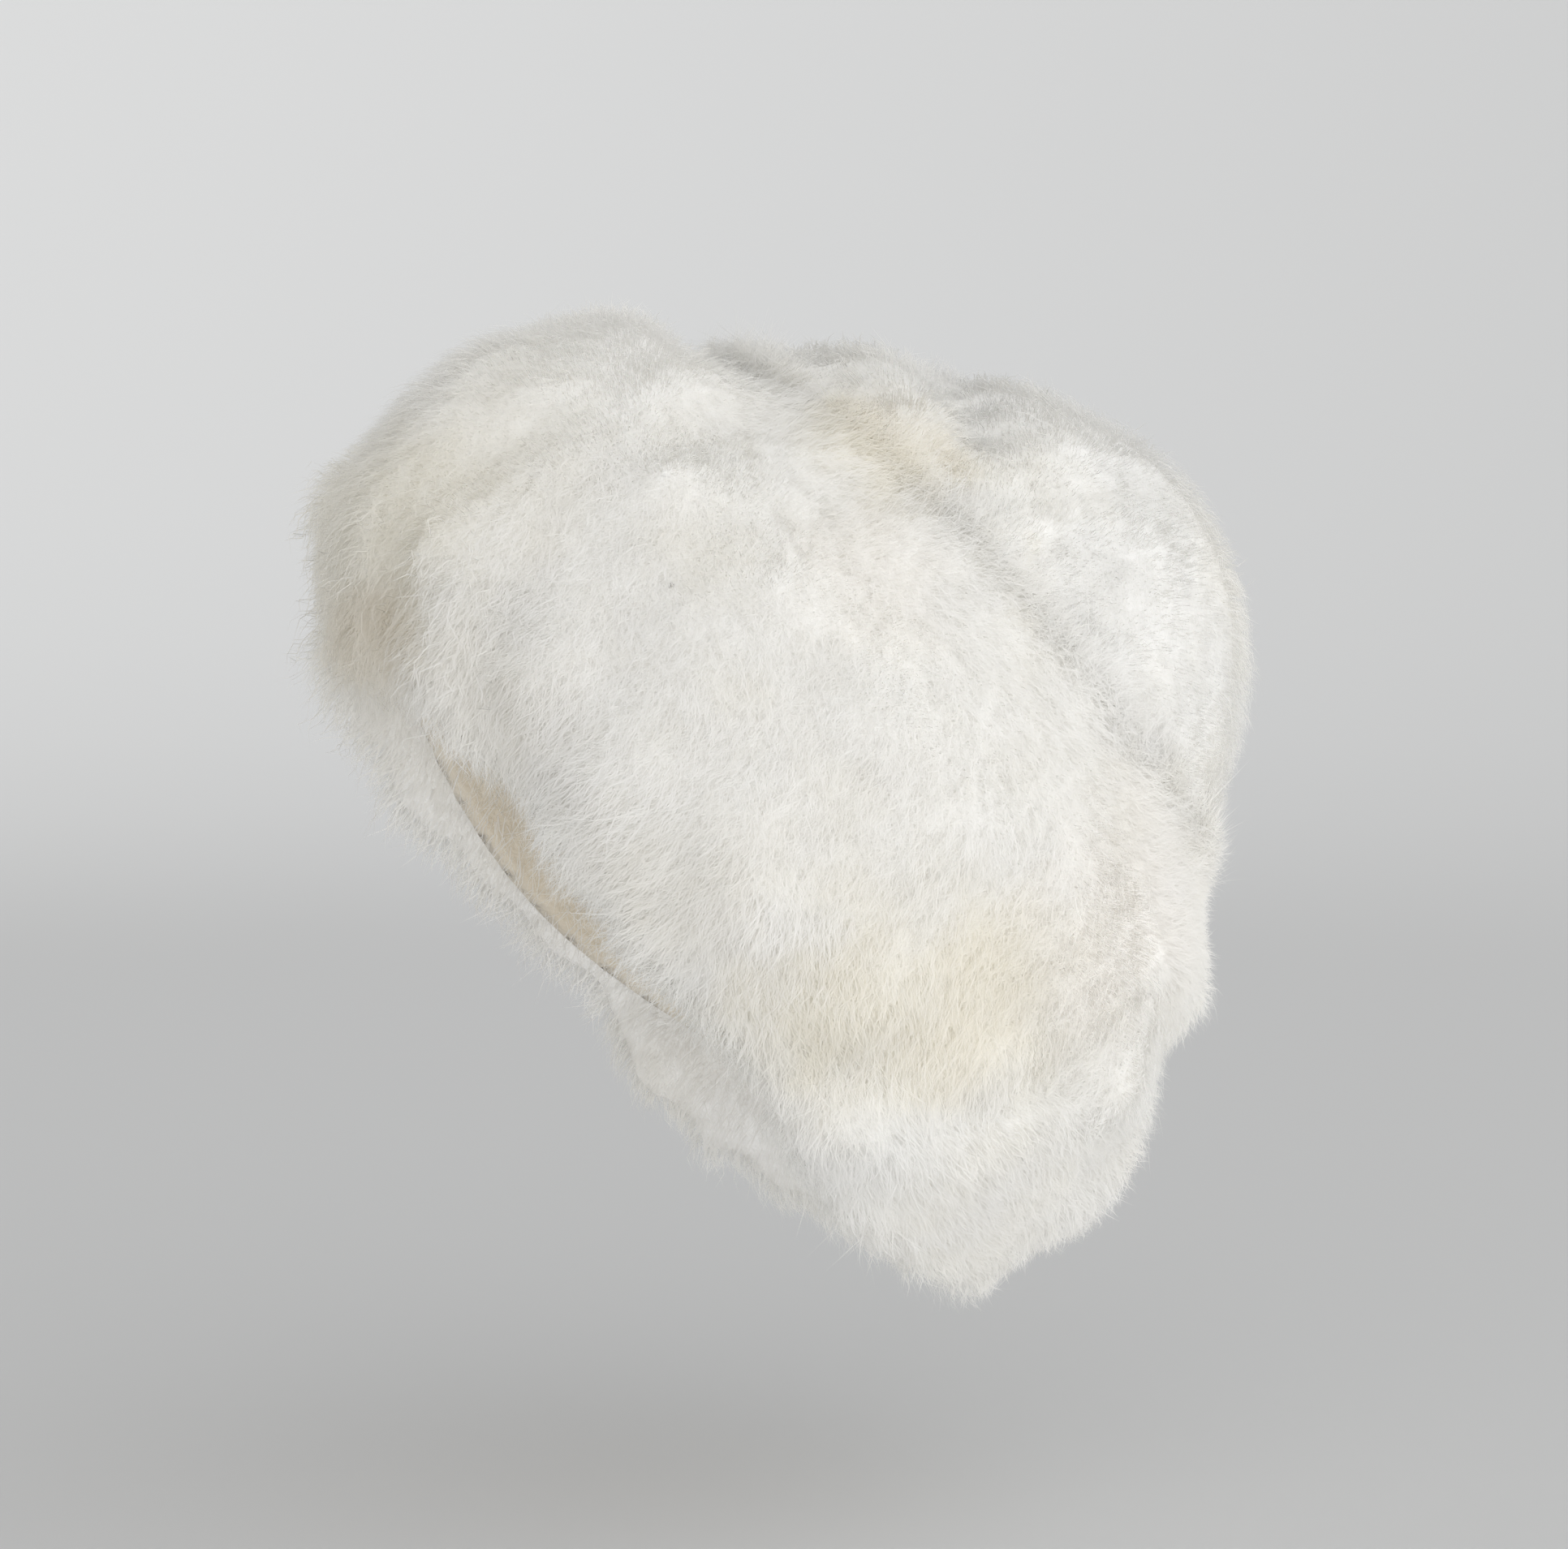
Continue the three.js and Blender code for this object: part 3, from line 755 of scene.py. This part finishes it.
CROWN_DENTS = (
    ((0.02, 0.03, 0.176), 0.028, 0.001),
    ((0.05, 0.03, 0.165), 0.018, 0.004),
    ((0.005, 0.053, 0.182), 0.009, 0.015),
    ((0.03, 0.053, 0.174), 0.009, 0.015),
    ((0.05, 0.053, 0.166), 0.009, 0.015),
    ((0.01, 0.10, 0.172), 0.010, 0.015),
    ((0.035, 0.10, 0.167), 0.010, 0.015),
    ((0.055, 0.10, 0.158), 0.010, 0.015),
    ((0.073, 0.079, 0.125), 0.011, 0.006),
    ((0.087, 0.129, 0.099), 0.011, 0.005),
    ((0.089, 0.108, 0.095), 0.008, 0.004),
    ((0.085, 0.120, 0.080), 0.008, 0.004),
    ((0.080, 0.133, 0.064), 0.008, 0.004),
    ((0.04, 0.135, 0.145), 0.03, -0.005),
    ((0.04, 0.165, 0.115), 0.03, -0.004),
)
band_bed = soft_wool(band + ["crown_fleece"], "flap_bed", wool_inset)
press(band_bed, BAND_DENTS + CROWN_DENTS, open_side)
crown_bed = cut_off(band_bed, "crown_fleece_bed", on_crown)
dress_bed(band_bed, band, bed_wool)

whose_skin = kdtree.KDTree(sum(len(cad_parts[node].data.vertices) for node in band))
on_nape_flap = []
for node in band:
    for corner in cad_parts[node].data.vertices:
        whose_skin.insert(corner.co, len(on_nape_flap))
        on_nape_flap.append(node == "nape_flap")
whose_skin.balance()
on_nape_flap = np.array(on_nape_flap)


def on_nape(places):
    return on_nape_flap[[whose_skin.find(Vector(place))[1] for place in places]]


def flap_part(low_turn, high_turn, low_up, high_up):
    """Picks the outer face of the flaps between two turns round the axis and two heights."""

    def share(places, facing):
        left, back, up, turn = to_hat(places)
        inside = (turn >= low_turn) & (turn < high_turn) & (up >= low_up) & (up < high_up)
        cover = np.maximum(outward(places, facing), 0.8 * (up < 0.03))
        return cover * inside * ~on_nape(places)

    return share


# Each pile: its name, its number of fibres, its turns and heights, its kind and its seed.
FLAP_PILES = (
    ("left_fluff", 60000, (27, 180), (-1, 1), FLUFF, 11),
    ("left_locks", 35000, (27, 180), (-1, 1), LOCKS, 12),
    ("right_fluff", 12000, (-180, -27), (-1, 1), dict(FLUFF, width=0.0004), 13),
    ("right_locks", 9000, (-180, -27), (-1, 1), dict(LOCKS, width=0.0005), 14),
    ("front_fluff", 22000, (-27, 27), (-1, 1), FLUFF, 15),
    ("front_locks", 12500, (-27, 27), (-1, 1), LOCKS, 16),
    ("brow_curls", 900, (-40, 40), (-1, 0.035), CURLS, 17),
)
for name, count, turns, heights, style, seed in FLAP_PILES:
    pile(name, band_bed, flap_wool, count, flap_part(*turns, *heights),
         flap_lie, flap_length, style, seed)

SEAM = dict(steps=2, width=0.00024, length=1.5, rise=0.42, fall=0.75, stray=0.35,
            curl=0.001, waves=1.0, gather=0.15, lock_size=30)
EDGE_WIDTH = 0.014


def close_to(places, skins):
    """1 along the seam to other skins, fading to 0 away from it."""
    return np.clip(1.3 - gaps_to(places, skins)[:, 0] / EDGE_WIDTH, 0, 1)


def top_edge(places, facing):
    return close_to(places, [crown_skin]) * outward(places, facing)


def over_the_edge(places, facing):
    upward = from_hat(0.0, 0.0, 0.7)
    return upward - 0.7 * from_axis(places) + 0.35 * swirl(places, 0.015, 6)


pile("top_edge_fluff", band_bed, flap_wool, 9000, top_edge,
     over_the_edge, flap_length, SEAM, 18)

# Nape flap. The lobe of sheepskin that hangs behind the neck, sewn to the crown's rim under the
# side flaps. It has the same long pile, whose locks fall straight down to spiky tips; its colour
# is painted a little greyer than the flaps' as painted shade.

NAPE_PILE_LENGTH = 0.014
NAPE_STAINS_AND_SHADE = (
    # The grey spot is painted shade, where the nape lobe turns forward and down toward the neck.
    ((0.092, 0.041, -0.071), 0.05, 0.6, PAINTED_SHADE_GREY),
    ((0.070, 0.115, -0.09), 0.03, 0.4, CREAM),
)
# The nape's middle and tip are the flaps' wool painted a little greyer: painted shade on the low
# lobe.
NAPE_TIP_PAINTED_SHADE = (0.95, 0.948, 0.94, 1)
NAPE_MIDDLE_PAINTED_SHADE = (0.94, 0.936, 0.92, 1)
nape_wool = wool_material("nape_pile", 0.45, NAPE_STAINS_AND_SHADE, middle=NAPE_MIDDLE_PAINTED_SHADE, tip=NAPE_TIP_PAINTED_SHADE)


def nape_lie(places, facing):
    return np.array([0, 0.4, -1.0]) + 0.3 * swirl(places, 0.03, 9)


def nape_part(places, facing):
    return (0.5 + 0.5 * outward(places, facing)) * on_nape(places)


def nape_length(places):
    return np.full(len(places), NAPE_PILE_LENGTH)


NAPE_LOCKS = dict(LOCKS, width=0.00038, gather=0.55, lock_size=40)
NAPE_PILES = (("nape_fluff", 24000, FLUFF, 21), ("nape_locks", 13000, NAPE_LOCKS, 22))
for name, count, style, seed in NAPE_PILES:
    pile(name, band_bed, nape_wool, count, nape_part, nape_lie, nape_length, style, seed)

# Crown fleece. The outer side of the crown's own sheepskin, above the flaps. Its pile is shorter,
# whiter and curlier than theirs, in small tumbled locks over the crown's share of the under-wool.
# Its colour is painted a shade greyer than the flaps' wool, as painted shade over the crown.

CROWN_PILE_LENGTH = 0.0105
# The crown's middle and tip colours are painted a shade greyer than the flaps': painted shade over
# the crown's top.
CROWN_TIP_PAINTED_SHADE = (0.915, 0.915, 0.91, 1)
CROWN_MIDDLE_PAINTED_SHADE = (0.91, 0.907, 0.895, 1)
CROWN_YELLOW = (0.925, 0.885, 0.79, 1)
CROWN_STAINS = (
    ((0.066, 0.061, 0.147), 0.036, 0.45, CROWN_YELLOW),
    ((0.054, 0.050, 0.160), 0.034, 0.35, CROWN_YELLOW),
    ((0.072, 0.072, 0.135), 0.03, 0.3, CROWN_YELLOW),
    ((0.081, 0.096, 0.106), 0.012, 0.8, STRAW),
    ((0.073, 0.079, 0.125), 0.014, 0.7, STRAW),
)
crown_under = wool_material("crown_under_wool", 0, CROWN_STAINS, middle=CROWN_MIDDLE_PAINTED_SHADE)
crown_wool = wool_material("crown_pile", 0.45, CROWN_STAINS, middle=CROWN_MIDDLE_PAINTED_SHADE, tip=CROWN_TIP_PAINTED_SHADE)


def crown_lie(places, facing):
    return from_hat(0.0, 0.0, -0.6) + 0.6 * swirl(places, 0.020, 21)


def crown_length(places):
    return np.full(len(places), CROWN_PILE_LENGTH)


dress_bed(crown_bed, ["crown_fleece"], crown_under)
CROWN_CURLS = dict(LOCKS, width=0.00034, curl=0.0016, waves=1.8, gather=0.45, stray=0.4)
CROWN_PILES = (("crown_fluff", 26000, FLUFF, 31), ("crown_locks", 15000, CROWN_CURLS, 32))
for name, count, style, seed in CROWN_PILES:
    pile(name, crown_bed, crown_wool, count, over_dome, crown_lie, crown_length,
         style, seed)


def low_edge(places, facing):
    return close_to(places, flap_skins) * over_dome(places, facing)


def down_over_seam(places, facing):
    downward = from_hat(0.0, 0.0, -0.8)
    return downward + 0.5 * from_axis(places) + 0.35 * swirl(places, 0.015, 7)


pile("low_edge_fluff", crown_bed, crown_wool, 6000, low_edge, down_over_seam,
     crown_length, SEAM, 33)

# Floor, light and camera. A plain pale floor that sweeps up all round into a plain pale back,
# soft light from above and from the right, and the camera at the hat's left, a little above it.

BACKDROP = (0.65, 0.658, 0.665, 1)
FLOOR_HEIGHT = -0.195
SWEEP = 2.6
FLOOR_CUT = 0.62 * SWEEP
OPEN_TOP = 1.9

bpy.ops.object.select_all(action="DESELECT")
bpy.ops.mesh.primitive_uv_sphere_add(segments=64, ring_count=64, radius=SWEEP, location=(0, 0, 0))
floor = bpy.context.object
floor.name = "floor"
bpy.ops.object.mode_set(mode="EDIT")
bpy.ops.mesh.select_all(action="DESELECT")
bpy.ops.object.mode_set(mode="OBJECT")
for corner in floor.data.vertices:
    corner.co.z = max(corner.co.z + FLOOR_CUT, 0) + FLOOR_HEIGHT
    corner.select = corner.co.z > OPEN_TOP
bpy.ops.object.mode_set(mode="EDIT")
bpy.ops.mesh.delete(type="VERT")
bpy.ops.mesh.select_all(action="SELECT")
bpy.ops.mesh.remove_doubles(threshold=MERGE_DISTANCE)
bpy.ops.mesh.flip_normals()
bpy.ops.object.mode_set(mode="OBJECT")
ease = floor.modifiers.new("ease", "SMOOTH")
ease.factor = 0.5
ease.iterations = 40
finish_modifiers(floor)
bpy.ops.object.shade_smooth()
floor.visible_diffuse = False
floor.visible_glossy = False
floor.visible_transmission = False
floor.visible_shadow = False

backdrop_paint, nodes, links = new_material("backdrop")
shader = nodes.new("ShaderNodeBsdfPrincipled")
shader.inputs["Base Color"].default_value = BACKDROP
shader.inputs["Roughness"].default_value = 0.9
output = nodes.new("ShaderNodeOutputMaterial")
links.new(shader.outputs["BSDF"], output.inputs["Surface"])
floor.data.materials.append(backdrop_paint)

scene = bpy.context.scene
scene.view_settings.view_transform = "Standard"
scene.cycles.max_bounces = 12
scene.cycles.diffuse_bounces = 7
world = bpy.data.worlds.new("studio")
scene.world = world
world.use_nodes = True
nodes, links = world.node_tree.nodes, world.node_tree.links
direction = nodes.new("ShaderNodeTexCoord")
toward_window = nodes.new("ShaderNodeVectorMath")
toward_window.operation = "DOT_PRODUCT"
toward_window.inputs[1].default_value = (0.96, 0.28, 0.05)
glow = nodes.new("ShaderNodeMapRange")
glow.inputs["From Min"].default_value = 0
glow.inputs["From Max"].default_value = 1
glow.inputs["To Min"].default_value = 0.58
glow.inputs["To Max"].default_value = 1.38
links.new(direction.outputs["Generated"], toward_window.inputs[0])
links.new(toward_window.outputs["Value"], glow.inputs["Value"])
links.new(glow.outputs["Result"], nodes["Background"].inputs["Strength"])
nodes["Background"].inputs["Color"].default_value = (1, 0.995, 0.985, 1)

LAMP_PLACE = (1.9, 0.5, 0.5)
lamp = bpy.data.objects.new("key", bpy.data.lights.new("key", "AREA"))
lamp.data.size = 1.8
lamp.data.energy = 3
lamp.data.color = (1.0, 0.995, 0.98)
lamp.location = LAMP_PLACE
lamp.rotation_euler = (-Vector(LAMP_PLACE)).to_track_quat("-Z", "Y").to_euler()
scene.collection.objects.link(lamp)

PHOTO_WIDTH, PHOTO_HEIGHT = 1932, 1909
SENSOR = 36
AZIMUTH = math.radians(72)
ELEVATION = math.radians(4)
DISTANCE = 1.25
FOCAL_PIXELS = 4800
ORIGIN_PIXEL = (785, 1120)
toward = Vector((
    math.sin(AZIMUTH) * math.cos(ELEVATION),
    -math.cos(AZIMUTH) * math.cos(ELEVATION),
    math.sin(ELEVATION),
))
right = Vector((math.cos(AZIMUTH), math.sin(AZIMUTH), 0))
upward = toward.cross(right)
camera = bpy.data.objects.new("camera", bpy.data.cameras.new("camera"))
scene.collection.objects.link(camera)
camera.data.sensor_fit = "HORIZONTAL"
camera.data.sensor_width = SENSOR
camera.data.lens = FOCAL_PIXELS / PHOTO_WIDTH * SENSOR
camera.data.clip_start = 0.05
across_m = (ORIGIN_PIXEL[0] - PHOTO_WIDTH / 2) / FOCAL_PIXELS * DISTANCE
above_m = (PHOTO_HEIGHT / 2 - ORIGIN_PIXEL[1]) / FOCAL_PIXELS * DISTANCE
camera.location = toward * DISTANCE - right * across_m - upward * above_m
camera.rotation_euler = toward.to_track_quat("Z", "Y").to_euler()
scene.camera = camera
